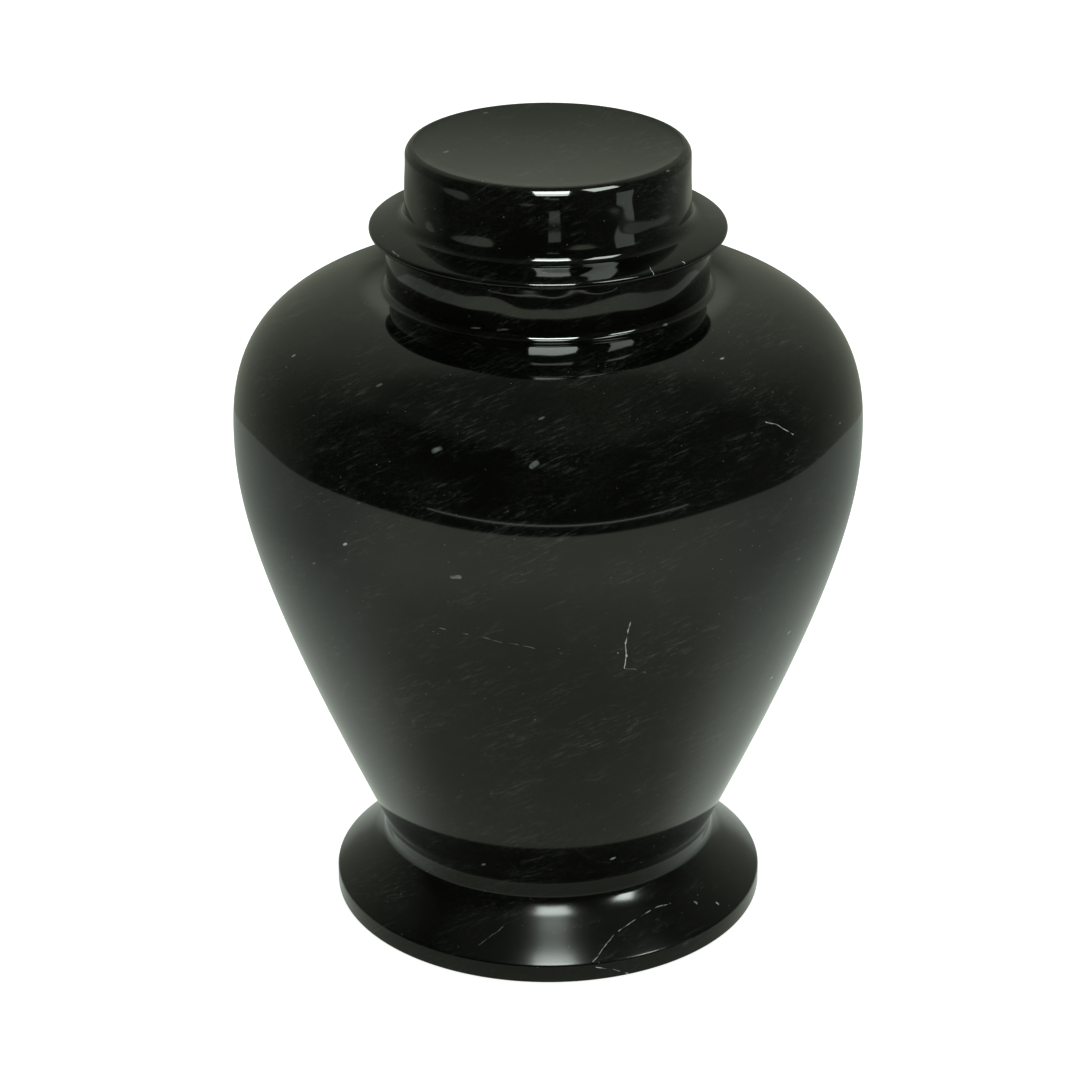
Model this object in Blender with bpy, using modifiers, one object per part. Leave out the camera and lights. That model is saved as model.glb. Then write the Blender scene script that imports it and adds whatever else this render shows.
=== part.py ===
"""A turned marble cremation urn: a footed body bored hollow from its mouth, and a loose lid.

Metres, +Z up, with the origin at the middle of the underside.
Both pieces are profiles turned about Z. A profile is a list of (radius, height)
points that starts on the axis, goes out and down the outer side.
"""

from math import atan2, cos, degrees, pi, radians, sin, tan

import bmesh
import bpy

MM = 0.001
SIDES = 52  # straight sides that stand for each circle

# Foot: an upright rim, a coned top and a cove up to the waist
FOOT_RADIUS = 73.3 * MM
FOOT_EDGE_RADIUS = 0.8 * MM  # where the rim meets the table
FOOT_RIM_HEIGHT = 7.1 * MM
FOOT_RIM_RADIUS = 1.3 * MM  # rounding from the rim to the coned top
FOOT_SLOPE = radians(41)
FOOT_COVE_RADIUS = 6.7 * MM

# Waist and bowl
WAIST_RADIUS = 56.3 * MM
WAIST_HEIGHT = 2.0 * MM  # upright part above the foot's cove
BOWL_COVE_RISE = 6.0 * MM  # from the waist to where the bowl runs straight
BOWL_COVE_SPREAD = 1.9 * MM
BOWL_FLARE = radians(24.5)  # the bowl's lower wall from upright
BOWL_REACH = 104.9 * MM  # how far the bowl's lower wall keeps that direction
BELLY_RADIUS = 103.5 * MM
BELLY_HEIGHT = 172.2 * MM
BELLY_DROP = 18.6 * MM  # fullness of the belly below its widest ring
BELLY_RISE = 21.9 * MM  # and above it

# Shoulder and neck
SHOULDER_HEIGHT = 219.3 * MM  # where the shoulder meets the neck's cove
SHOULDER_SLOPE = radians(5.4)  # there
SHOULDER_REACH = 0.864  # share of its width over which it keeps near that slope
NECK_COVE_RADIUS = 3.0 * MM
NECK_RADIUS = 52.5 * MM
NECK_TOP = 238.2 * MM
MOUTH_EDGE_RADIUS = 0.8 * MM

# The hollow
MOUTH_RADIUS = 42.0 * MM
WALL = 11.0 * MM
CAVITY_FLOOR = 42.0 * MM
CAVITY_CORNER_RADIUS = 12.0 * MM

# Lid: a brim on the neck, a drum-shaped cap and a spigot in the mouth
SEAT_GAP = 0.3 * MM
BRIM_OVERHANG = 5.3 * MM  # beyond the neck
BRIM_EDGE_RADIUS = 1.16 * MM  # the brim's edge is a half round
BRIM_SLOPE = radians(15)
CAP_RADIUS = 46.1 * MM
CAP_TAPER = 0.3 * MM  # the wall leans in by this much over its height
CAP_COVE_RADIUS = 2.2 * MM
CAP_EDGE_RADIUS = 3.3 * MM
CAP_HEIGHT = 28.5 * MM  # the whole lid above its seat
SPIGOT_CLEARANCE = 0.6 * MM  # all round, in the mouth
SPIGOT_DEPTH = 9.0 * MM
SPIGOT_EDGE_RADIUS = 1.5 * MM

MARBLE_COLOUR = (0.0065, 0.0080, 0.0068, 1.0)
MARBLE_ROUGHNESS = 0.08


def arc(centre, radius, start, end, steps):
    """Points on a circle, from one angle in degrees to another."""
    turns = [radians(start + (end - start) * i / steps) for i in range(steps + 1)]
    return [(centre[0] + radius * cos(t), centre[1] + radius * sin(t)) for t in turns]


def bezier(start, start_pull, end_pull, end, steps):
    """Points on a cubic curve whose ends head for the two pull points."""
    points = []
    for i in range(steps + 1):
        t = i / steps
        shares = ((1 - t) ** 3, 3 * t * (1 - t) ** 2, 3 * t**2 * (1 - t), t**3)
        corners = (start, start_pull, end_pull, end)
        points.append(tuple(sum(s * c[axis] for s, c in zip(shares, corners)) for axis in (0, 1)))
    return points


def ahead(point, angle, length):
    """The point that far from another, in a direction given from +radius towards +height."""
    return (point[0] + length * cos(angle), point[1] + length * sin(angle))


def inside(curve, distance):
    """A curve that runs upwards, moved towards the axis by the same distance all along."""
    moved = []
    for i, point in enumerate(curve):
        before, after = curve[max(i - 1, 0)], curve[min(i + 1, len(curve) - 1)]
        heading = atan2(after[1] - before[1], after[0] - before[0])
        moved.append(ahead(point, heading + pi / 2, distance))
    return moved


def foot_top():
    """From the rim's edge in and up: the rounding, the coned top and the cove to the waist."""
    rim_centre = (FOOT_RADIUS - FOOT_RIM_RADIUS, FOOT_RIM_HEIGHT - FOOT_RIM_RADIUS)
    rounding = arc(rim_centre, FOOT_RIM_RADIUS, 0, 90 - degrees(FOOT_SLOPE), 3)
    cove_x = WAIST_RADIUS + FOOT_COVE_RADIUS
    cone_end_x = cove_x - FOOT_COVE_RADIUS * sin(FOOT_SLOPE)
    start_x, start_z = rounding[-1]
    cone_end_z = start_z + (start_x - cone_end_x) * tan(FOOT_SLOPE)
    cove_z = cone_end_z + FOOT_COVE_RADIUS * cos(FOOT_SLOPE)
    cove = arc((cove_x, cove_z), FOOT_COVE_RADIUS, 270 - degrees(FOOT_SLOPE), 180, 4)
    return rounding + cove


def bowl(waist_top, steps):
    """From the waist up to the belly's widest ring."""
    start = (WAIST_RADIUS + BOWL_COVE_SPREAD, waist_top + BOWL_COVE_RISE)
    upwards = pi / 2 - BOWL_FLARE
    cove = bezier(
        (WAIST_RADIUS, waist_top),
        (WAIST_RADIUS, waist_top + BOWL_COVE_RISE / 2),
        ahead(start, upwards, -BOWL_COVE_RISE / 3),
        start,
        3,
    )
    belly = (BELLY_RADIUS, BELLY_HEIGHT)
    below = (BELLY_RADIUS, BELLY_HEIGHT - BELLY_DROP)
    return cove[:-1] + bezier(start, ahead(start, upwards, BOWL_REACH), below, belly, steps)


def shoulder(steps):
    """From the belly's widest ring up and in to the foot of the neck's cove."""
    end = (NECK_RADIUS + NECK_COVE_RADIUS * (1 - sin(SHOULDER_SLOPE)), SHOULDER_HEIGHT)
    reach = SHOULDER_REACH * (BELLY_RADIUS - end[0])
    above = (BELLY_RADIUS, BELLY_HEIGHT + BELLY_RISE)
    outwards = ahead(end, -SHOULDER_SLOPE, reach)
    return bezier((BELLY_RADIUS, BELLY_HEIGHT), above, outwards, end, steps)


def body_profile():
    """Up the inside from the cavity's floor, over the mouth's rim and down the outside."""
    top_of_foot = foot_top()
    waist_top = top_of_foot[-1][1] + WAIST_HEIGHT
    outer_bowl, outer_shoulder = bowl(waist_top, 13), shoulder(11)

    wall_start = CAVITY_FLOOR + CAVITY_CORNER_RADIUS
    lining = inside(bowl(waist_top, 8) + shoulder(8)[1:], WALL)
    lining = [p for p in lining if p[0] > MOUTH_RADIUS and p[1] > wall_start]
    corner_x = lining[0][0] - (lining[0][1] - wall_start) * tan(BOWL_FLARE)
    corner = bezier(
        (corner_x - CAVITY_CORNER_RADIUS, CAVITY_FLOOR),
        (corner_x - CAVITY_CORNER_RADIUS * 0.45, CAVITY_FLOOR),
        (corner_x - CAVITY_CORNER_RADIUS * 0.2, wall_start - CAVITY_CORNER_RADIUS * 0.45),
        (corner_x, wall_start),
        3,
    )
    hollow = [(0, CAVITY_FLOOR)] + corner + lining + [(MOUTH_RADIUS, lining[-1][1])]

    edge, edge_z = MOUTH_EDGE_RADIUS, NECK_TOP - MOUTH_EDGE_RADIUS
    rim = arc((MOUTH_RADIUS + edge, edge_z), edge, 180, 90, 2)
    rim += arc((NECK_RADIUS - edge, edge_z), edge, 90, 0, 2)

    neck_cove = arc(
        (
            NECK_RADIUS + NECK_COVE_RADIUS,
            SHOULDER_HEIGHT + NECK_COVE_RADIUS * cos(SHOULDER_SLOPE),
        ),
        NECK_COVE_RADIUS,
        180,
        270 - degrees(SHOULDER_SLOPE),
        3,
    )
    outside = neck_cove + outer_shoulder[-2::-1] + outer_bowl[-2::-1] + top_of_foot[::-1]

    base_centre = (FOOT_RADIUS - FOOT_EDGE_RADIUS, FOOT_EDGE_RADIUS)
    base = arc(base_centre, FOOT_EDGE_RADIUS, 0, -90, 2) + [(0, 0)]
    return hollow + rim + outside + base


def lid_profile():
    """Heights are above the seat: cap, cove, brim, underside and spigot."""
    cap_edge = (CAP_RADIUS - CAP_TAPER - CAP_EDGE_RADIUS, CAP_HEIGHT - CAP_EDGE_RADIUS)
    cap = [(0, CAP_HEIGHT)] + arc(cap_edge, CAP_EDGE_RADIUS, 90, 0, 5)

    brim_radius = NECK_RADIUS + BRIM_OVERHANG
    brim_centre = (brim_radius - BRIM_EDGE_RADIUS, BRIM_EDGE_RADIUS)
    brim_edge = arc(brim_centre, BRIM_EDGE_RADIUS, 90 - degrees(BRIM_SLOPE), -90, 5)
    # the cove's centre is one radius off the cap's wall and off the brim's slope
    cove_x = CAP_RADIUS + CAP_COVE_RADIUS
    slope_x, slope_z = brim_edge[0]
    cone_x = cove_x - CAP_COVE_RADIUS * sin(BRIM_SLOPE)
    cone_z = slope_z + (slope_x - cone_x) * tan(BRIM_SLOPE)
    cove_z = cone_z + CAP_COVE_RADIUS * cos(BRIM_SLOPE)
    cove = arc((cove_x, cove_z), CAP_COVE_RADIUS, 180, 270 - degrees(BRIM_SLOPE), 4)

    spigot_radius = MOUTH_RADIUS - SPIGOT_CLEARANCE
    spigot_edge = (spigot_radius - SPIGOT_EDGE_RADIUS, SPIGOT_EDGE_RADIUS - SPIGOT_DEPTH)
    spigot = [(spigot_radius, 0)] + arc(spigot_edge, SPIGOT_EDGE_RADIUS, 0, -90, 2)
    return cap + cove + brim_edge + spigot + [(0, -SPIGOT_DEPTH)]


def marble(name):
    material = bpy.data.materials.new(name)
    material.use_nodes = True
    shader = material.node_tree.nodes["Principled BSDF"]
    shader.inputs["Base Color"].default_value = MARBLE_COLOUR
    shader.inputs["Roughness"].default_value = MARBLE_ROUGHNESS
    shader.inputs["Metallic"].default_value = 0.0
    return material


def turned(name, profile, material, collection):
    """A solid of revolution: the profile as a line of edges, with a Screw about Z."""
    mesh = bpy.data.meshes.new(name)
    line = bmesh.new()
    points = [line.verts.new((x, 0.0, z)) for x, z in profile]
    for first, second in zip(points, points[1:]):
        line.edges.new((first, second))
    line.to_mesh(mesh)
    line.free()
    mesh.materials.append(material)
    piece = bpy.data.objects.new(name, mesh)
    collection.objects.link(piece)
    screw = piece.modifiers.new("Turn", "SCREW")
    screw.steps = screw.render_steps = SIDES
    screw.use_merge_vertices = True
    screw.merge_threshold = 0.00001
    screw.use_smooth_shade = True
    return piece


def main():
    for old in list(bpy.data.objects):
        bpy.data.objects.remove(old, do_unlink=True)
    urn = bpy.data.collections.new("Cremation urn")
    bpy.context.scene.collection.children.link(urn)

    turned("urn_body", body_profile(), marble("Black marble body"), urn)
    lid = turned("urn_lid", lid_profile(), marble("Black marble lid"), urn)
    lid.location = (0, 0, NECK_TOP + SEAT_GAP)


main()
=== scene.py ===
"""Dresses the cremation urn: both turned pieces in polished black marble, in a small white
studio."""

from math import atan2, copysign, cos, degrees, hypot, pi, radians, sin, tan

import bmesh
import bpy
from mathutils import Matrix, Vector, noise


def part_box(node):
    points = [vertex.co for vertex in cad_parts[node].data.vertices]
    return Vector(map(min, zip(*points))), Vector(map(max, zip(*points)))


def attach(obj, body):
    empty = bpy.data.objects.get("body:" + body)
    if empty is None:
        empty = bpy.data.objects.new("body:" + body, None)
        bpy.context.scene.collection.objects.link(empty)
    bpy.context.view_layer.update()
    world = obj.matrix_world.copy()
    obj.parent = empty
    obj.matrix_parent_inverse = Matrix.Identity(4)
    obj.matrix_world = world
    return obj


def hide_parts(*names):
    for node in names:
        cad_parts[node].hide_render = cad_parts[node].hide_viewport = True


MM = 0.001
SIDES = 288  # straight sides of each circle, fine enough for the outline to read as round
SHARP_EDGE = radians(50)  # faces that meet at more than this keep a crisp edge

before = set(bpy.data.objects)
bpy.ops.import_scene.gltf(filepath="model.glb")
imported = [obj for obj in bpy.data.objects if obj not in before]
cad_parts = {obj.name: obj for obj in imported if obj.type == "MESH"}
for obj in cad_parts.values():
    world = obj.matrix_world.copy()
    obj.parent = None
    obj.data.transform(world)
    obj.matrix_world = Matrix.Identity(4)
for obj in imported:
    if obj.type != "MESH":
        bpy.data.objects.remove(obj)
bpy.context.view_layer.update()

body_low, body_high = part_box("urn_body")
lid_low, lid_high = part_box("urn_lid")

# Sizes that the solids carry
BELLY_RADIUS = body_high[0]
NECK_TOP = body_high[2]
BRIM_RADIUS = lid_high[0]
LID_TOP = lid_high[2]
SPIGOT_END = lid_low[2]
URN_HEIGHT = LID_TOP

# The turner's other sizes, as in the solids
FOOT_RADIUS = 73.3 * MM
FOOT_EDGE_RADIUS = 0.8 * MM
FOOT_RIM_HEIGHT = 7.1 * MM
FOOT_RIM_RADIUS = 1.3 * MM
FOOT_SLOPE = radians(41)
WAIST_RADIUS = 56.3 * MM
WAIST_HEIGHT = 2.0 * MM
BOWL_COVE_RISE = 6.0 * MM
BOWL_COVE_SPREAD = 1.9 * MM
BOWL_FLARE = radians(24.5)
BOWL_REACH = 104.9 * MM
BELLY_HEIGHT = 172.2 * MM
BELLY_DROP = 18.6 * MM
BELLY_RISE = 21.9 * MM
SHOULDER_HEIGHT = 219.3 * MM
SHOULDER_SLOPE = radians(5.4)
SHOULDER_REACH = 0.864
NECK_COVE_RADIUS = 3.0 * MM
NECK_RADIUS = 52.5 * MM
MOUTH_RADIUS = 42.0 * MM
MOUTH_EDGE_RADIUS = 0.8 * MM
WALL = 11.0 * MM
CAVITY_FLOOR = 42.0 * MM
CAVITY_CORNER_RADIUS = 12.0 * MM
SEAT = NECK_TOP + 0.3 * MM
BRIM_EDGE_RADIUS = 1.16 * MM
BRIM_SLOPE = radians(15)
CAP_RADIUS = 46.1 * MM
CAP_TAPER = 0.3 * MM
CAP_COVE_RADIUS = 3.6 * MM
CAP_EDGE_RADIUS = 3.3 * MM
SPIGOT_RADIUS = MOUTH_RADIUS - 0.6 * MM
SPIGOT_EDGE_RADIUS = 1.5 * MM

# What the hand and the polishing wheel make of those, by about half a millimetre at most
FOOT_SWAY = radians(1.0)  # the foot's cone is steeper at both ends than in the middle
BRIM_CROWN = radians(4.5)  # the brim's top falls faster towards its edge
CAP_DOME = 0.28 * MM  # the cap's top stands this much higher in its middle
NECK_DRAW = 0.30 * MM  # the neck is this much slimmer at its foot
NECK_BELLY = radians(4.2)  # and its wall swells a little in between
NECK_CORNER_RADIUS = 2.2 * MM  # where the neck meets the shoulder
SHOULDER_RISE = 0.32 * MM  # the shoulder is this much fuller next to the neck, then leaner
SHOULDER_RISE_REACH = 44 * MM
SHOULDER_RISE_FADE = 1.5

# Roundings in parts: the radius of each part, and the angle round its centre that it ends with
FOOT_COVE = ((24.0 * MM, 216), (5.32 * MM, 180))  # up from the foot's cone to the waist
CAP_EDGE = ((4.2 * MM, 60), (0.8 * MM, 40), (7.5 * MM, 28), (1.8 * MM, 0))  # from the top down
CAP_EDGE_WIDTH = CAP_EDGE_RADIUS + 0.05 * MM  # of all its parts together

# Waves that a hand-held polishing pad leaves in the upright walls
WAVE_LENGTH = 14 * MM
NECK_WAVE_DEPTH = 0.36 * MM
CAP_WAVE_DEPTH = 0.45 * MM
NECK_WALL_START = 3.5 * MM  # above the shoulder
CAP_WALL_START = 8 * MM  # above the lid's seat


# Turned profiles: lists of (radius, height), down the outer side


def arc(centre, radius, start, end, steps):
    turns = [radians(start + (end - start) * i / steps) for i in range(steps + 1)]
    return [(centre[0] + radius * cos(t), centre[1] + radius * sin(t)) for t in turns]


def bezier(start, start_pull, end_pull, end, steps):
    points = []
    for i in range(steps + 1):
        t = i / steps
        shares = ((1 - t) ** 3, 3 * t * (1 - t) ** 2, 3 * t**2 * (1 - t), t**3)
        corners = (start, start_pull, end_pull, end)
        points.append(tuple(sum(s * c[axis] for s, c in zip(shares, corners)) for axis in (0, 1)))
    return points


def ahead(point, angle, length):
    return (point[0] + length * cos(angle), point[1] + length * sin(angle))


def run(start, end, steps):
    """Evenly spaced points of a straight stretch, without its ends."""
    shares = [i / steps for i in range(1, steps)]
    return [tuple(a + (b - a) * s for a, b in zip(start, end)) for s in shares]


def bowed(start, end, bow, steps):
    """A nearly straight stretch without its ends. bow(share) is how far it stands off to
    the left at that share of the way, as a share of its length."""
    length = hypot(end[0] - start[0], end[1] - start[1])
    left = atan2(end[1] - start[1], end[0] - start[0]) + pi / 2
    shares = [i / steps for i in range(1, steps)]
    return [
        ahead(point, left, length * bow(share))
        for point, share in zip(run(start, end, steps), shares)
    ]


def rolled(start, angle, roundings):
    """Roundings that run on from one another, from the angle that the first begins with."""
    points = [start]
    for radius, last in roundings:
        x, z = points[-1]
        centre = (x - radius * cos(radians(angle)), z - radius * sin(radians(angle)))
        points += arc(centre, radius, angle, last, 8)[1:]
        angle = last
    return points


def inside(curve, distance):
    """The curve moved towards the axis by a wall's thickness."""
    moved = []
    for i, point in enumerate(curve):
        before, after = curve[max(i - 1, 0)], curve[min(i + 1, len(curve) - 1)]
        heading = atan2(after[1] - before[1], after[0] - before[0])
        moved.append(ahead(point, heading + pi / 2, distance))
    return moved


def foot_top():
    rim_centre = (FOOT_RADIUS - FOOT_RIM_RADIUS, FOOT_RIM_HEIGHT - FOOT_RIM_RADIUS)
    rounding = arc(rim_centre, FOOT_RIM_RADIUS, 0, 90 - degrees(FOOT_SLOPE + FOOT_SWAY), 8)
    cone_end = 270 - degrees(FOOT_SLOPE + FOOT_SWAY)
    cone_end_x = WAIST_RADIUS - rolled((0, 0), cone_end, FOOT_COVE)[-1][0]
    start_x, start_z = rounding[-1]
    cone_end_z = start_z + (start_x - cone_end_x) * tan(FOOT_SLOPE)
    cove = rolled((cone_end_x, cone_end_z), cone_end, FOOT_COVE)

    def sway(share):
        return -FOOT_SWAY * sin(2 * pi * share) / (2 * pi)

    return rounding + bowed(rounding[-1], cove[0], sway, 16) + cove


def bowl(waist_top, steps):
    start = (WAIST_RADIUS + BOWL_COVE_SPREAD, waist_top + BOWL_COVE_RISE)
    upwards = pi / 2 - BOWL_FLARE
    cove = bezier(
        (WAIST_RADIUS, waist_top),
        (WAIST_RADIUS, waist_top + BOWL_COVE_RISE / 2),
        ahead(start, upwards, -BOWL_COVE_RISE / 3),
        start,
        10,
    )
    belly = (BELLY_RADIUS, BELLY_HEIGHT)
    below = (BELLY_RADIUS, BELLY_HEIGHT - BELLY_DROP)
    return cove[:-1] + bezier(start, ahead(start, upwards, BOWL_REACH), below, belly, steps)


def shoulder(steps):
    end = (NECK_RADIUS + NECK_COVE_RADIUS * (1 - sin(SHOULDER_SLOPE)), SHOULDER_HEIGHT)
    reach = SHOULDER_REACH * (BELLY_RADIUS - end[0])
    above = (BELLY_RADIUS, BELLY_HEIGHT + BELLY_RISE)
    outwards = ahead(end, -SHOULDER_SLOPE, reach)
    plain = bezier((BELLY_RADIUS, BELLY_HEIGHT), above, outwards, end, steps)
    shares = [min(1.0, (x - end[0]) / SHOULDER_RISE_REACH) for x, _ in plain]
    return [
        (x, z + SHOULDER_RISE * sin(2 * pi * share) * (1 - share) ** SHOULDER_RISE_FADE)
        for (x, z), share in zip(plain, shares)
    ]


def body_profile():
    top_of_foot = foot_top()
    waist_top = top_of_foot[-1][1] + WAIST_HEIGHT

    wall_start = CAVITY_FLOOR + CAVITY_CORNER_RADIUS
    lining = inside(bowl(waist_top, 24) + shoulder(24)[1:], WALL)
    lining = [p for p in lining if p[0] > MOUTH_RADIUS and p[1] > wall_start]
    corner_x = lining[0][0] - (lining[0][1] - wall_start) * tan(BOWL_FLARE)
    corner = bezier(
        (corner_x - CAVITY_CORNER_RADIUS, CAVITY_FLOOR),
        (corner_x - CAVITY_CORNER_RADIUS * 0.45, CAVITY_FLOOR),
        (corner_x - CAVITY_CORNER_RADIUS * 0.2, wall_start - CAVITY_CORNER_RADIUS * 0.45),
        (corner_x, wall_start),
        6,
    )
    hollow = [(0, CAVITY_FLOOR)] + corner + lining + [(MOUTH_RADIUS, lining[-1][1])]

    edge, edge_z = MOUTH_EDGE_RADIUS, NECK_TOP - MOUTH_EDGE_RADIUS
    rim = arc((MOUTH_RADIUS + edge, edge_z), edge, 180, 90, 4)
    rim += arc((NECK_RADIUS - edge, edge_z), edge, 90, 0, 4)

    neck_shoulder = shoulder(56)
    (near_x, near_z), (x, z) = neck_shoulder[-1], neck_shoulder[-2]
    slope = atan2(near_z - z, x - near_x)
    corner_x = NECK_RADIUS - NECK_DRAW + NECK_CORNER_RADIUS
    corner_end_x = corner_x - NECK_CORNER_RADIUS * sin(slope)
    corner_end_z = near_z + (near_x - corner_end_x) * tan(slope)
    neck_cove = arc(
        (corner_x, corner_end_z + NECK_CORNER_RADIUS * cos(slope)),
        NECK_CORNER_RADIUS,
        180,
        270 - degrees(slope),
        14,
    )

    def swell(share):
        return NECK_BELLY * share * (1 - share)

    neck = bowed(rim[-1], neck_cove[0], swell, 16)
    outside = neck_cove + neck_shoulder[::-1] + bowl(waist_top, 64)[-2::-1] + top_of_foot[::-1]

    base_centre = (FOOT_RADIUS - FOOT_EDGE_RADIUS, FOOT_EDGE_RADIUS)
    base = arc(base_centre, FOOT_EDGE_RADIUS, 0, -90, 5) + [(0, 0)]
    return hollow + rim + neck + outside + base


def lid_profile():
    flat_end = CAP_RADIUS - CAP_TAPER - CAP_EDGE_WIDTH
    steps = 12
    dome = [
        (flat_end * i / steps, LID_TOP + CAP_DOME * (1 - (i / steps) ** 2)) for i in range(steps)
    ]
    slope_there = degrees(atan2(2 * CAP_DOME, flat_end))
    cap = dome + rolled((flat_end, LID_TOP), 90 - slope_there, CAP_EDGE)

    inner_slope, outer_slope = BRIM_SLOPE - BRIM_CROWN, BRIM_SLOPE + BRIM_CROWN
    brim_centre = (BRIM_RADIUS - BRIM_EDGE_RADIUS, SEAT + BRIM_EDGE_RADIUS)
    brim_edge = arc(brim_centre, BRIM_EDGE_RADIUS, 90 - degrees(outer_slope), -90, 14)
    cove_x = CAP_RADIUS + CAP_COVE_RADIUS
    slope_x, slope_z = brim_edge[0]
    cone_x = cove_x - CAP_COVE_RADIUS * sin(inner_slope)
    cone_z = slope_z + (slope_x - cone_x) * tan(BRIM_SLOPE)
    cove_z = cone_z + CAP_COVE_RADIUS * cos(inner_slope)
    cove = arc((cove_x, cove_z), CAP_COVE_RADIUS, 180, 270 - degrees(inner_slope), 14)
    wall = run(cap[-1], cove[0], 16)

    def crown(share):
        return BRIM_CROWN * share * (1 - share)

    slope = bowed(cove[-1], brim_edge[0], crown, 12)

    spigot_edge = (SPIGOT_RADIUS - SPIGOT_EDGE_RADIUS, SPIGOT_END + SPIGOT_EDGE_RADIUS)
    spigot = [(SPIGOT_RADIUS, SEAT)] + arc(spigot_edge, SPIGOT_EDGE_RADIUS, 0, -90, 5)
    return cap + wall + cove + slope + brim_edge + spigot + [(0, SPIGOT_END)]


def polishing_waves(line, wall_radius, low, high, depth):
    """Waves in the upright wall of that radius between two heights, none at its ends."""
    nearness = 0.6 * MM
    for vert in line.verts:
        radius = hypot(vert.co.x, vert.co.y)
        share = (vert.co.z - low) / (high - low)
        if abs(radius - wall_radius) > nearness or not 0 < share < 1:
            continue
        fade = min(1.0, 6 * share * (1 - share))
        wave = depth * fade * noise.noise(vert.co / WAVE_LENGTH)
        vert.co.x *= 1 + wave / radius
        vert.co.y *= 1 + wave / radius


def turned(name, profile, wall, finish, node):
    """One piece off the lathe, which stands for its solid. wall is the radius of its upright
    wall, the two heights it stands between, and how deep the waves in it are."""
    mesh = bpy.data.meshes.new(name)
    line = bmesh.new()
    points = [line.verts.new((x, 0.0, z)) for x, z in profile]
    for first, second in zip(points, points[1:]):
        line.edges.new((first, second))
    bmesh.ops.spin(
        line,
        geom=line.verts[:] + line.edges[:],
        axis=(0, 0, 1),
        cent=(0, 0, 0),
        steps=SIDES,
        angle=2 * pi,
        use_merge=True,
    )
    bmesh.ops.remove_doubles(line, verts=line.verts, dist=0.001 * MM)
    bmesh.ops.recalc_face_normals(line, faces=line.faces)
    polishing_waves(line, *wall)
    line.to_mesh(mesh)
    line.free()
    mesh.shade_smooth()
    mesh.set_sharp_from_angle(angle=SHARP_EDGE)
    mesh.materials.append(finish)
    piece = bpy.data.objects.new(name, mesh)
    bpy.context.scene.collection.objects.link(piece)
    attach(piece, "root")
    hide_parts(node)
    return piece


# Materials


def linear(colour):
    """An sRGB hex colour such as "8a918b" as linear RGBA."""
    parts = [int(colour[i : i + 2], 16) / 255 for i in (0, 2, 4)]
    light = [c / 12.92 if c <= 0.04045 else ((c + 0.055) / 1.055) ** 2.4 for c in parts]
    return (*light, 1.0)


def add_node(tree, kind, values=None, links=None, **settings):
    """A new node, its settings, its sockets' values and what feeds them."""
    node = tree.nodes.new(kind)
    for name, value in settings.items():
        setattr(node, name, value)
    for socket, value in (values or {}).items():
        node.inputs[socket].default_value = value
    for socket, source in (links or {}).items():
        tree.links.new(source, node.inputs[socket])
    return node


# The beds of the stone: the way across them, so streaks rise to the right in front
ACROSS_BEDS = Vector((0.40, -0.34, -0.85)).normalized()

# White calcite threads that show in front: half the width in mm, then the places along it,
# each in degrees round from the front towards +X and millimetres up
BODY_THREADS = (
    (0.15, ((14.9, 146.6), (14.3, 143.0), (14.0, 139.2), (14.0, 136.9), (14.5, 132.0))),
    (0.14, ((14.5, 132.0), (14.3, 129.2), (14.3, 126.6))),
    (0.30, ((14.0, 137.1), (14.0, 136.7))),
    (0.32, ((14.5, 132.3), (14.5, 131.7))),
    (0.22, ((12.7, 133.4), (12.7, 133.2))),
    (0.15, ((43.7, 200.1), (46.2, 198.1), (47.9, 195.7), (49.5, 193.6))),
    (0.16, ((40.7, 15.5), (33.0, 15.5), (25.3, 14.3), (18.4, 11.9), (15.2, 9.6), (11.8, 6.9))),
    (0.15, ((12.3, 5.3), (16.3, 3.6), (21.3, 0.9))),
    (0.45, ((49.0, 13.1), (49.4, 12.7))),
    (0.40, ((56.1, 10.3), (56.3, 9.9))),
)
# Fainter ones, and first the three soft grey flakes
BODY_FAINT_THREADS = (
    (0.75, ((-20.9, 199.2), (-19.9, 200.0))),
    (0.75, ((-2.9, 197.3), (-2.1, 198.1))),
    (0.65, ((-16.6, 160.7), (-15.2, 161.1))),
    (0.13, ((14.3, 126.6), (16.4, 125.7), (18.6, 123.6))),
    (0.14, ((-19.9, 141.0), (-12.6, 139.9), (-5.0, 137.3), (2.4, 134.6))),
    (0.16, ((-13.7, 14.7), (-19.9, 9.4))),
    (0.30, ((-27.3, 221.9), (-23.8, 222.4))),
    (0.30, ((-17.3, 222.6), (-14.1, 223.0))),
)
LID_THREADS = (
    (0.15, ((35.7, 241.7), (34.5, 241.0), (34.3, 239.9))),
    (0.25, ((47.7, 240.8), (47.9, 240.6))),
)
LID_FAINT_THREADS = (
    (0.30, ((-60.0, 240.9), (-55.0, 240.6))),
)


def on_surface(profile, turn, height):
    """The point of the outer side that many degrees round and millimetres up."""
    level = height * MM
    radius = max(
        a[0] + (b[0] - a[0]) * (level - a[1]) / (b[1] - a[1])
        for a, b in zip(profile, profile[1:])
        if min(a[1], b[1]) <= level <= max(a[1], b[1]) and a[1] != b[1]
    )
    return Vector((radius * sin(radians(turn)), -radius * cos(radians(turn)), level))


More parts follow.
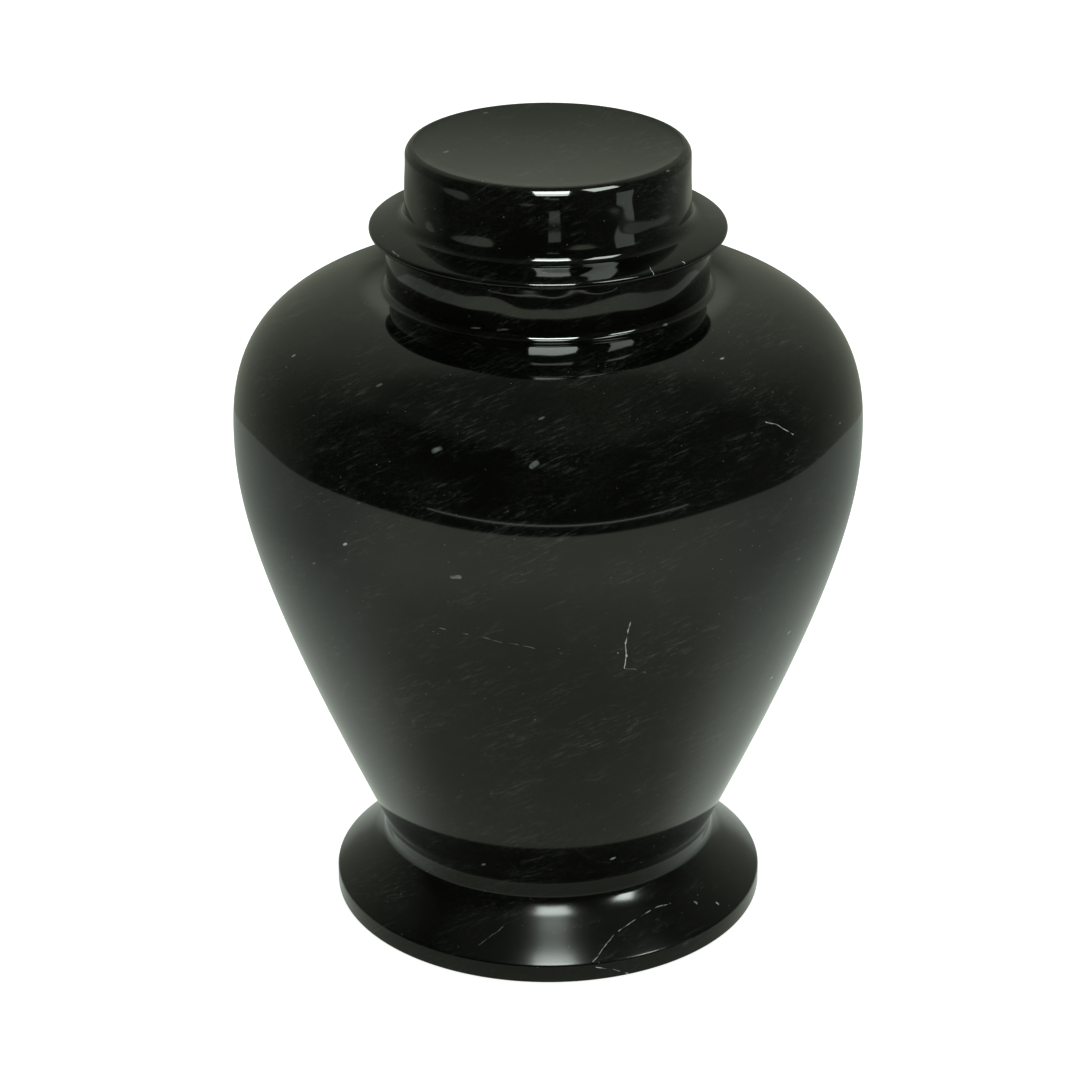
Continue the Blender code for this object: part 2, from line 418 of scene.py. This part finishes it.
def calcite_threads(tree, place, profile, threads):
    """Mask of fine threads through the stone, from the places along each."""
    nearest = None
    for half_width, places in threads:
        points = [on_surface(profile, *at) for at in places]
        thread_gap = None
        for start, end in zip(points, points[1:]):
            offset = add_node(
                tree, "ShaderNodeVectorMath", {1: tuple(start)}, {0: place}, operation="SUBTRACT"
            ).outputs[0]
            share = add_node(
                tree,
                "ShaderNodeVectorMath",
                {1: tuple((end - start) / (end - start).length_squared)},
                {0: offset},
                operation="DOT_PRODUCT",
            ).outputs["Value"]
            kept = add_node(tree, "ShaderNodeClamp", links={"Value": share}).outputs[0]
            reached = add_node(
                tree,
                "ShaderNodeVectorMath",
                {0: tuple(end - start)},
                {"Scale": kept},
                operation="SCALE",
            ).outputs[0]
            gap = add_node(
                tree, "ShaderNodeVectorMath", links={0: offset, 1: reached}, operation="DISTANCE"
            ).outputs["Value"]
            if thread_gap:
                gap = add_node(
                    tree, "ShaderNodeMath", links={0: thread_gap, 1: gap}, operation="MINIMUM"
                ).outputs[0]
            thread_gap = gap
        widths = add_node(
            tree,
            "ShaderNodeMath",
            {1: half_width * MM},
            {0: thread_gap},
            operation="DIVIDE",
        ).outputs[0]
        if nearest:
            widths = add_node(
                tree, "ShaderNodeMath", links={0: nearest, 1: widths}, operation="MINIMUM"
            ).outputs[0]
        nearest = widths
    return add_node(
        tree,
        "ShaderNodeMapRange",
        {"From Min": 0.5, "From Max": 1.3, "To Min": 1.0, "To Max": 0.0},
        {"Value": nearest},
        interpolation_type="SMOOTHSTEP",
    ).outputs[0]


def polished_black_marble(name, block, profile, threads, faint_threads):
    """Fine-grained black limestone, sawn, turned and polished to a mirror.

    Nearly all that shows is reflection. The stone itself adds a faint cloudy haze, fine grey
    fibres that lie in its beds, specks of white calcite and a few calcite threads.
    """
    material = bpy.data.materials.new(name)
    material.use_nodes = True
    tree = material.node_tree
    shader = tree.nodes["Principled BSDF"]
    shader.inputs["Metallic"].default_value = 0.0
    shader.inputs["IOR"].default_value = 1.5

    place = add_node(tree, "ShaderNodeTexCoord").outputs["Object"]
    level = ACROSS_BEDS.rotation_difference(Vector((0, 0, 1))).to_euler()
    beds = add_node(
        tree,
        "ShaderNodeMapping",
        {"Location": block, "Rotation": tuple(level)},
        {"Vector": place},
    ).outputs[0]

    # ragged fibres 7 mm long and under a millimetre thick, flat in the beds
    fibre_space = add_node(
        tree,
        "ShaderNodeMapping",
        {"Scale": (1 / (7 * MM), 1 / (7 * MM), 1 / (0.9 * MM))},
        {"Vector": beds},
    ).outputs[0]
    fibre_grain = add_node(
        tree,
        "ShaderNodeTexNoise",
        {"Scale": 1.0, "Detail": 4.0, "Roughness": 0.72, "Distortion": 0.25},
        {"Vector": fibre_space},
    ).outputs[0]
    long_fibres = add_node(
        tree,
        "ShaderNodeMapRange",
        {"From Min": 0.49, "From Max": 0.89},
        {"Value": fibre_grain},
        interpolation_type="SMOOTHSTEP",
    ).outputs[0]

    # shorter, finer ones between them
    short_space = add_node(
        tree,
        "ShaderNodeMapping",
        {"Scale": (1 / (2.4 * MM), 1 / (2.4 * MM), 1 / (0.36 * MM))},
        {"Vector": beds},
    ).outputs[0]
    short_grain = add_node(
        tree,
        "ShaderNodeTexNoise",
        {"Scale": 1.0, "Detail": 3.0, "Roughness": 0.6},
        {"Vector": short_space},
    ).outputs[0]
    short_fibres = add_node(
        tree,
        "ShaderNodeMapRange",
        {"From Min": 0.54, "From Max": 0.92},
        {"Value": short_grain},
        interpolation_type="SMOOTHSTEP",
    ).outputs[0]
    fibres = add_node(
        tree, "ShaderNodeMath", links={0: long_fibres, 1: short_fibres}, operation="MAXIMUM"
    ).outputs[0]

    # both gather in patches 26 mm long and 9 mm thick
    patch_space = add_node(
        tree,
        "ShaderNodeMapping",
        {"Scale": (1 / (26 * MM), 1 / (26 * MM), 1 / (9 * MM))},
        {"Vector": beds},
    ).outputs[0]
    patch_grain = add_node(
        tree, "ShaderNodeTexNoise", {"Scale": 1.0, "Detail": 3.0}, {"Vector": patch_space}
    ).outputs[0]
    patches = add_node(
        tree,
        "ShaderNodeMapRange",
        {"From Min": 0.39, "From Max": 0.68, "To Min": 0.10},
        {"Value": patch_grain},
        interpolation_type="SMOOTHSTEP",
    ).outputs[0]
    streaks = add_node(
        tree, "ShaderNodeMath", links={0: fibres, 1: patches}, operation="MULTIPLY"
    ).outputs[0]

    # cloudy haze between the fibres, 38 mm from cloud to cloud
    cloud_grain = add_node(
        tree,
        "ShaderNodeTexNoise",
        {"Scale": 1 / (38 * MM), "Detail": 2.0, "Roughness": 0.55},
        {"Vector": beds},
    ).outputs[0]
    haze = add_node(
        tree,
        "ShaderNodeMapRange",
        {"From Min": 0.38, "From Max": 0.72},
        {"Value": cloud_grain},
        interpolation_type="SMOOTHSTEP",
    ).outputs[0]

    # grains under a millimetre across give the haze its tooth
    tooth_grain = add_node(
        tree,
        "ShaderNodeTexNoise",
        {"Scale": 1 / (0.8 * MM), "Detail": 1.0},
        {"Vector": beds},
    ).outputs[0]
    tooth = add_node(
        tree,
        "ShaderNodeMapRange",
        {"From Min": 0.40, "From Max": 0.66, "To Min": 0.2, "To Max": 1.6},
        {"Value": tooth_grain},
    ).outputs[0]
    toothed_haze = add_node(
        tree, "ShaderNodeMath", links={0: haze, 1: tooth}, operation="MULTIPLY"
    ).outputs[0]

    # specks of calcite a third of a millimetre across, of every brightness
    speck_cells = add_node(
        tree,
        "ShaderNodeTexVoronoi",
        {"Scale": 1 / (2.3 * MM)},
        {"Vector": beds},
        feature="F1",
    ).outputs
    speck_shape = add_node(
        tree,
        "ShaderNodeMapRange",
        {"From Min": 0.03, "From Max": 0.08, "To Min": 1.0, "To Max": 0.0},
        {"Value": speck_cells["Distance"]},
        interpolation_type="SMOOTHSTEP",
    ).outputs[0]
    speck_strength = add_node(
        tree, "ShaderNodeSeparateColor", links={0: speck_cells["Color"]}
    ).outputs[0]
    speck_some = add_node(
        tree,
        "ShaderNodeMapRange",
        {"From Min": 0.60, "From Max": 1.0, "To Max": 0.7},
        {"Value": speck_strength},
    ).outputs[0]
    specks = add_node(
        tree, "ShaderNodeMath", links={0: speck_shape, 1: speck_some}, operation="MULTIPLY"
    ).outputs[0]

    # a few flat oval flakes, 2 mm long
    flake_space = add_node(
        tree,
        "ShaderNodeMapping",
        {"Scale": (1 / (10 * MM), 1 / (10 * MM), 1 / (3.5 * MM))},
        {"Vector": beds},
    ).outputs[0]
    flake_cells = add_node(
        tree, "ShaderNodeTexVoronoi", {"Scale": 1.0}, {"Vector": flake_space}, feature="F1"
    ).outputs
    flake_shape = add_node(
        tree,
        "ShaderNodeMapRange",
        {"From Min": 0.07, "From Max": 0.14, "To Min": 1.0, "To Max": 0.0},
        {"Value": flake_cells["Distance"]},
        interpolation_type="SMOOTHSTEP",
    ).outputs[0]
    flake_strength = add_node(
        tree, "ShaderNodeSeparateColor", links={0: flake_cells["Color"]}
    ).outputs[1]
    flake_some = add_node(
        tree,
        "ShaderNodeMapRange",
        {"From Min": 0.93, "From Max": 1.0, "To Max": 0.7},
        {"Value": flake_strength},
    ).outputs[0]
    flakes = add_node(
        tree, "ShaderNodeMath", links={0: flake_shape, 1: flake_some}, operation="MULTIPLY"
    ).outputs[0]
    spots = add_node(
        tree, "ShaderNodeMath", links={0: specks, 1: flakes}, operation="MAXIMUM"
    ).outputs[0]

    # threads a third of a millimetre wide, which wander and break off here and there
    wander_grain = add_node(
        tree,
        "ShaderNodeTexNoise",
        {"Scale": 1 / (5 * MM), "Detail": 1.0},
        {"Vector": beds},
    ).outputs
    wander = add_node(
        tree,
        "ShaderNodeVectorMath",
        {1: (0.5, 0.5, 0.5)},
        {0: wander_grain[1]},
        operation="SUBTRACT",
    ).outputs[0]
    wandering_place = add_node(
        tree,
        "ShaderNodeVectorMath",
        {1: (1.3 * MM, 1.3 * MM, 1.3 * MM)},
        {0: wander, 2: place},
        operation="MULTIPLY_ADD",
    ).outputs[0]
    thread_grain = add_node(
        tree, "ShaderNodeTexNoise", {"Scale": 1 / (1.6 * MM), "Detail": 2.0}, {"Vector": beds}
    ).outputs[0]
    unbroken = add_node(
        tree,
        "ShaderNodeMapRange",
        {"From Min": 0.34, "From Max": 0.56, "To Min": 0.35},
        {"Value": thread_grain},
    ).outputs[0]
    white_threads = calcite_threads(tree, wandering_place, profile, threads)
    grey_threads = calcite_threads(tree, wandering_place, profile, faint_threads)
    all_threads = add_node(
        tree,
        "ShaderNodeMath",
        {1: 0.28},
        {0: grey_threads, 2: white_threads},
        operation="MULTIPLY_ADD",
    ).outputs[0]
    kept_threads = add_node(
        tree, "ShaderNodeMath", links={0: all_threads, 1: unbroken}, operation="MULTIPLY"
    ).outputs[0]
    calcite = add_node(
        tree,
        "ShaderNodeMath",
        links={0: spots, 1: kept_threads},
        operation="MAXIMUM",
        use_clamp=True,
    ).outputs[0]

    # the haze leans a little to green in one place and to brown in another
    haze_colour = add_node(
        tree,
        "ShaderNodeMix",
        {6: linear("0b0f0a"), 7: linear("110f0d")},
        {0: patch_grain},
        data_type="RGBA",
    ).outputs[2]
    ground = add_node(
        tree,
        "ShaderNodeMix",
        {6: linear("030403")},
        {0: toothed_haze, 7: haze_colour},
        data_type="RGBA",
    ).outputs[2]
    fibrous = add_node(
        tree,
        "ShaderNodeMix",
        {7: linear("454843")},
        {0: streaks, 6: ground},
        data_type="RGBA",
    ).outputs[2]
    stone = add_node(
        tree,
        "ShaderNodeMix",
        {7: linear("b9c2bb")},
        {0: calcite, 6: fibrous},
        data_type="RGBA",
    ).outputs[2]
    tree.links.new(stone, shader.inputs["Base Color"])

    # calcite takes a duller polish than the black
    lighter = add_node(
        tree,
        "ShaderNodeMath",
        {1: 0.5},
        {0: streaks, 2: calcite},
        operation="MULTIPLY_ADD",
        use_clamp=True,
    ).outputs[0]
    polish = add_node(
        tree, "ShaderNodeMapRange", {"To Min": 0.06, "To Max": 0.14}, {"Value": lighter}
    ).outputs[0]
    # the foot is hard to reach with the pad, and its polish is a little softer
    height = add_node(tree, "ShaderNodeSeparateXYZ", links={0: place}).outputs[2]
    foot_polish = add_node(
        tree,
        "ShaderNodeMapRange",
        {"From Min": 16 * MM, "From Max": 30 * MM, "To Min": 0.12, "To Max": 0.0},
        {"Value": height},
        interpolation_type="SMOOTHSTEP",
    ).outputs[0]
    roughness = add_node(
        tree, "ShaderNodeMath", links={0: polish, 1: foot_polish}, operation="ADD"
    ).outputs[0]
    tree.links.new(roughness, shader.inputs["Roughness"])
    return material


# The two pieces

whole_body = body_profile()
body = turned(
    "marble_body",
    whole_body,
    (
        NECK_RADIUS,
        SHOULDER_HEIGHT + NECK_WALL_START,
        NECK_TOP - MOUTH_EDGE_RADIUS,
        NECK_WAVE_DEPTH,
    ),
    polished_black_marble(
        "Polished black marble, body block",
        (0.37, 0.53, 0.71),
        whole_body,
        BODY_THREADS,
        BODY_FAINT_THREADS,
    ),
    "urn_body",
)
whole_lid = lid_profile()
lid = turned(
    "marble_lid",
    whole_lid,
    (CAP_RADIUS, SEAT + CAP_WALL_START, LID_TOP - CAP_EDGE_RADIUS, CAP_WAVE_DEPTH),
    polished_black_marble(
        "Polished black marble, lid block",
        (0.74, 1.06, 1.42),
        whole_lid,
        LID_THREADS,
        LID_FAINT_THREADS,
    ),
    "urn_lid",
)

# The light's colour: off the room's walls, from its sides, and out of a softbox
ROOM_TINT = linear("f6ffe7")
SIDE_TINT = linear("f2fff1")
SOFTBOX_TINT = linear("f3fff6")[:3]

# Table: a white sheet that the lens sees, and under it a glowing stand-in for the laminate top
# that only the polish mirrors, with painted light and a painted shadow

TABLE_HALF_WIDTH = 0.735
TABLE_FRONT, TABLE_BACK = -0.600, 0.435  # where its edges are, from the urn's axis
FRONT_SQUARENESS, BACK_SQUARENESS = 2.3, 4.0  # of its corners: 2 is an oval


def lit_white_acrylic():
    """Opal acrylic sheet, cast and lit from below: even white with almost no shadow."""
    material = bpy.data.materials.new("Opal acrylic, lit from below")
    material.use_nodes = True
    tree = material.node_tree
    shader = tree.nodes["Principled BSDF"]
    shader.inputs["Base Color"].default_value = linear("dcdcdb")
    shader.inputs["Roughness"].default_value = 0.6
    shader.inputs["Specular IOR Level"].default_value = 0.0
    shader.inputs["Emission Color"].default_value = linear("ffffff")
    shader.inputs["Emission Strength"].default_value = 0.80
    return material


def laminate_with_painted_light():
    """Glowing stand-in for a white laminate table top, seen only in the polish: painted room
    light.
    In front it has a painted shadow, darker near what stands on it, and beside it painted light,
    a little lighter."""
    material = bpy.data.materials.new("White laminate, painted room light and shadow")
    material.use_nodes = True
    tree = material.node_tree
    tree.nodes.clear()
    place = add_node(tree, "ShaderNodeTexCoord").outputs["Object"]
    reach = add_node(
        tree, "ShaderNodeVectorMath", links={0: place}, operation="LENGTH"
    ).outputs["Value"]
    near = add_node(
        # painted shadow of what stands on the table: the glow is darker near the axis
        tree,
        "ShaderNodeMapRange",
        {"From Min": 0.11, "From Max": 0.37, "To Min": 0.31, "To Max": 0.70},
        {"Value": reach},
        interpolation_type="SMOOTHSTEP",
    ).outputs[0]
    # painted light: beside the urn the glow is a little lighter
    beside = add_node(
        tree,
        "ShaderNodeMapRange",
        {"From Min": 0.12, "From Max": 0.32, "To Min": 0.62, "To Max": 0.40},
        {"Value": reach},
    ).outputs[0]
    way = add_node(
        tree, "ShaderNodeVectorMath", links={0: place}, operation="NORMALIZE"
    ).outputs[0]
    across, along, _ = add_node(tree, "ShaderNodeSeparateXYZ", links={0: way}).outputs
    # painted light: lighter still towards the right
    sides = add_node(
        tree,
        "ShaderNodeMapRange",
        {"From Min": -1.0, "From Max": 1.0, "To Min": 1.0, "To Max": 1.12},
        {"Value": across},
    ).outputs[0]
    lit_sides = add_node(
        tree, "ShaderNodeMath", links={0: sides, 1: beside}, operation="MULTIPLY"
    ).outputs[0]
    front = add_node(
        tree,
        "ShaderNodeMapRange",
        {"From Min": -0.10, "From Max": -0.75},
        {"Value": along},
        interpolation_type="SMOOTHSTEP",
    ).outputs[0]
    strength = add_node(
        tree, "ShaderNodeMix", links={0: front, 2: lit_sides, 3: near}, data_type="FLOAT"
    ).outputs[0]
    tint = add_node(
        tree,
        "ShaderNodeMix",
        {6: SIDE_TINT, 7: ROOM_TINT},
        {0: front},
        data_type="RGBA",
    ).outputs[2]
    # the top glows with this painted light and shade; no lamp lights it
    glow = add_node(
        tree, "ShaderNodeEmission", links={"Color": tint, "Strength": strength}
    ).outputs[0]
    add_node(tree, "ShaderNodeOutputMaterial", links={"Surface": glow})
    return material


def table_sheet(name, outline, height, finish):
    mesh = bpy.data.meshes.new(name)
    sheet = bmesh.new()
    sheet.faces.new([sheet.verts.new((x, y, height)) for x, y in outline])
    sheet.to_mesh(mesh)
    sheet.free()
    mesh.materials.append(finish)
    top = bpy.data.objects.new(name, mesh)
    bpy.context.scene.collection.objects.link(top)
    return top


def rounded_oblong(steps=192):
    """Outline of the table top, which stands square to the lens."""
    middle, half_depth = (TABLE_FRONT + TABLE_BACK) / 2, (TABLE_BACK - TABLE_FRONT) / 2
    outline = []
    for i in range(steps):
        across, along = cos(2 * pi * i / steps), sin(2 * pi * i / steps)
        power = 2 / (BACK_SQUARENESS if along > 0 else FRONT_SQUARENESS)
        x = copysign(abs(across) ** power, across)
        y = copysign(abs(along) ** power, along)
        outline.append((TABLE_HALF_WIDTH * x, middle + half_depth * y))
    return outline


floor = table_sheet(
    "white_floor", ((-4, -4), (4, -4), (4, 4), (-4, 4)), 0.0, lit_white_acrylic()
)
floor.visible_glossy = False

table = table_sheet("table_top_painted_light", rounded_oblong(), -0.2 * MM, laminate_with_painted_light())
table.visible_camera = False
table.visible_diffuse = False
table.visible_shadow = False

# Camera: lens, height and tilt solved from the photograph's ellipses

PHOTO_SIDE = 1080  # pixels
FOCAL_PIXELS = 3438.0
CAMERA_TILT = radians(24.62)  # below the horizon
CAMERA_DISTANCE = 3.925 * URN_HEIGHT  # in front of the urn's axis
CAMERA_HEIGHT = 2.278 * URN_HEIGHT
AXIS_OFFSET = 8.15  # pixels of the urn's axis right of the photograph's middle

camera = bpy.data.objects.new("camera", bpy.data.cameras.new("camera"))
bpy.context.scene.collection.objects.link(camera)
camera.location = (0, -CAMERA_DISTANCE, CAMERA_HEIGHT)
camera.rotation_euler = (pi / 2 - CAMERA_TILT, 0, 0)
camera.data.sensor_width = 36.0
camera.data.lens = FOCAL_PIXELS / PHOTO_SIDE * camera.data.sensor_width
camera.data.shift_x = -AXIS_OFFSET / PHOTO_SIDE
bpy.context.scene.camera = camera


# Lights


def softbox(name, place, aim, size, radiance, lit=None):
    """A rectangular soft light at place, facing aim, its size across and up. lit is the
    only piece that it lights, by light linking."""
    lamp = bpy.data.lights.new(name, "AREA")
    lamp.shape = "RECTANGLE"
    lamp.size, lamp.size_y = size
    lamp.energy = radiance * pi * size[0] * size[1]
    lamp.color = SOFTBOX_TINT
    light = bpy.data.objects.new(name, lamp)
    bpy.context.scene.collection.objects.link(light)
    light.location = place
    light.rotation_euler = (Vector(aim) - Vector(place)).to_track_quat("-Z", "Y").to_euler()
    light.visible_camera = False
    light.visible_diffuse = False
    if lit:
        reached = bpy.data.collections.new(name + " reaches")
        reached.objects.link(lit)
        light.light_linking.receiver_collection = reached
    return light


def turn_about_axis(point, turn):
    """A point of the plane ahead of the urn, turned that many degrees round the axis."""
    return Matrix.Rotation(radians(turn), 3, "Z") @ Vector(point)


# Soft daylight from above, for the stone's own colour
skylight = softbox("skylight", (0, 0, 2.2), (0, 0, 0), (3.4, 3.4), 1.6)
skylight.visible_diffuse = True
skylight.visible_glossy = False

# A far light bar beyond the table, a hairline across the belly
softbox("light_bar", (0.1, -1.6, -0.19), (0, 0, 0.17), (3.2, 0.018), 1.9, body)

# Softboxes high in front of the lid: turn, elevation, spread across and up, radiance
LID_CENTRE = Vector((0, -45 * MM, 255 * MM))
LID_LIGHT_DISTANCE = 2.0
LID_LIGHTS = (
    (3.4, 39.5, 23.0, 13.0, 15.0),
    (3.4, 51.8, 23.0, 11.6, 28.0),
    (56.0, 50.0, 20.0, 16.0, 12.0),
    (4.0, -16.0, 9.0, 5.0, 0.8),
    (64.0, -16.0, 16.0, 6.0, 1.0),
)
for i, (turn, elevation, across, up, radiance) in enumerate(LID_LIGHTS):
    way = turn_about_axis((0, -cos(radians(elevation)), sin(radians(elevation))), turn)
    softbox(
        f"lid_softbox_{i + 1}",
        LID_CENTRE + way * LID_LIGHT_DISTANCE,
        LID_CENTRE,
        [2 * LID_LIGHT_DISTANCE * tan(radians(spread / 2)) for spread in (across, up)],
        radiance,
        lid,
    )

# Narrow light panels that lean over the shoulder towards the neck. Along one: millimetres up
# its slope from START to END, width in millimetres, turn, shift sideways, radiance
NECK_PANEL_FOOT = Vector((0, -90 * MM, 215 * MM))
NECK_PANEL_RISE = Vector((0, -0.259, 0.966))
NECK_PANEL_FACING = Vector((0, 0.966, 0.259))
NECK_LIGHTS = (
    (24, 38.5, 44, 0, 5, 45.0),
    (79.5, 200, 52, 0, 6, 14.0),
    (24, 38.5, 26, 28, 22, 16.0),
    (79.5, 200, 34, 28, 38, 10.0),
)
for i, (low, high, width, turn, shift, radiance) in enumerate(NECK_LIGHTS):
    middle = NECK_PANEL_FOOT + NECK_PANEL_RISE * (low + high) / 2 * MM
    middle.x = shift * MM
    place = turn_about_axis(middle, turn)
    softbox(
        f"neck_panel_{i + 1}",
        place,
        place + turn_about_axis(NECK_PANEL_FACING, turn),
        (width * MM, (high - low) * MM),
        radiance,
        body,
    )

# Flat panels under the belly's height that shine down on the foot: the same way, with how far
# in front of the axis each begins and ends
FOOT_PANEL_HEIGHT = 165 * MM
FOOT_LIGHTS = (
    (143, 193, 60, 0, 9, 15.0),
    (129.5, 143, 42, 0, 8, 3.1),
    (100, 129.5, 36, 0, 7, 1.35),
    (210, 300, 48, 57, -31, 18.0),
)
for i, (near, far, width, turn, shift, radiance) in enumerate(FOOT_LIGHTS):
    place = turn_about_axis((shift * MM, -(near + far) / 2 * MM, FOOT_PANEL_HEIGHT), turn)
    panel = softbox(
        f"foot_panel_{i + 1}",
        place,
        place - Vector((0, 0, 1)),
        (width * MM, (far - near) * MM),
        radiance,
        body,
    )
    panel.rotation_euler = (0, 0, radians(turn))


def studio_world():
    """White to the lens. To the polish, a dim room in front that grows lighter round to the
    back, with a lighter wall straight behind and a dim ceiling."""
    world = bpy.data.worlds.new("Studio")
    bpy.context.scene.world = world
    world.use_nodes = True
    tree = world.node_tree
    tree.nodes.clear()
    way = add_node(tree, "ShaderNodeTexCoord").outputs["Generated"]
    up = add_node(tree, "ShaderNodeSeparateXYZ", links={0: way}).outputs[2]
    level = add_node(
        tree, "ShaderNodeVectorMath", {1: (1, 1, 0)}, {0: way}, operation="MULTIPLY"
    ).outputs[0]
    heading = add_node(
        tree, "ShaderNodeVectorMath", links={0: level}, operation="NORMALIZE"
    ).outputs[0]
    across, along, _ = add_node(tree, "ShaderNodeSeparateXYZ", links={0: heading}).outputs

    room = add_node(
        tree,
        "ShaderNodeMapRange",
        {"From Min": 0.3, "From Max": 1.0, "To Min": 0.035, "To Max": 0.08},
        {"Value": across},
    ).outputs[0]
    walls = add_node(
        tree,
        "ShaderNodeMapRange",
        {"From Min": -0.08, "From Max": 0.08},
        {"Value": along},
        interpolation_type="SMOOTHSTEP",
    ).outputs[0]
    lit_from = add_node(
        tree,
        "ShaderNodeMapRange",
        {"From Min": 0.27, "From Max": 0.37, "To Min": 0.14, "To Max": 0.52},
        {"Value": up},
        interpolation_type="SMOOTHSTEP",
    ).outputs[0]
    behind = add_node(
        tree,
        "ShaderNodeMapRange",
        {"From Min": -0.05, "From Max": 0.85, "To Min": 0.05, "To Max": 0.29},
        {"Value": along},
    ).outputs[0]
    straight_back = add_node(
        tree,
        "ShaderNodeMapRange",
        {"From Min": 0.985, "From Max": 0.998},
        {"Value": along},
        interpolation_type="SMOOTHSTEP",
    ).outputs[0]
    back = add_node(
        tree, "ShaderNodeMix", links={0: straight_back, 2: behind, 3: lit_from}, data_type="FLOAT"
    ).outputs[0]
    around = add_node(
        tree, "ShaderNodeMix", links={0: walls, 2: room, 3: back}, data_type="FLOAT"
    ).outputs[0]
    overhead = add_node(
        tree,
        "ShaderNodeMapRange",
        {"From Min": 0.74, "From Max": 0.87},
        {"Value": up},
        interpolation_type="SMOOTHSTEP",
    ).outputs[0]
    strength = add_node(
        tree, "ShaderNodeMix", {3: 0.12}, {0: overhead, 2: around}, data_type="FLOAT"
    ).outputs[0]
    mirrored = add_node(
        tree, "ShaderNodeBackground", {"Color": ROOM_TINT}, {"Strength": strength}
    ).outputs[0]
    white = add_node(
        tree, "ShaderNodeBackground", {"Color": linear("ffffff"), "Strength": 1.0}
    ).outputs[0]
    lens = add_node(tree, "ShaderNodeLightPath").outputs["Is Camera Ray"]
    shown = add_node(
        tree, "ShaderNodeMixShader", links={0: lens, 1: mirrored, 2: white}
    ).outputs[0]
    add_node(tree, "ShaderNodeOutputWorld", links={"Surface": shown})


studio_world()

bpy.context.scene.view_settings.view_transform = "Standard"
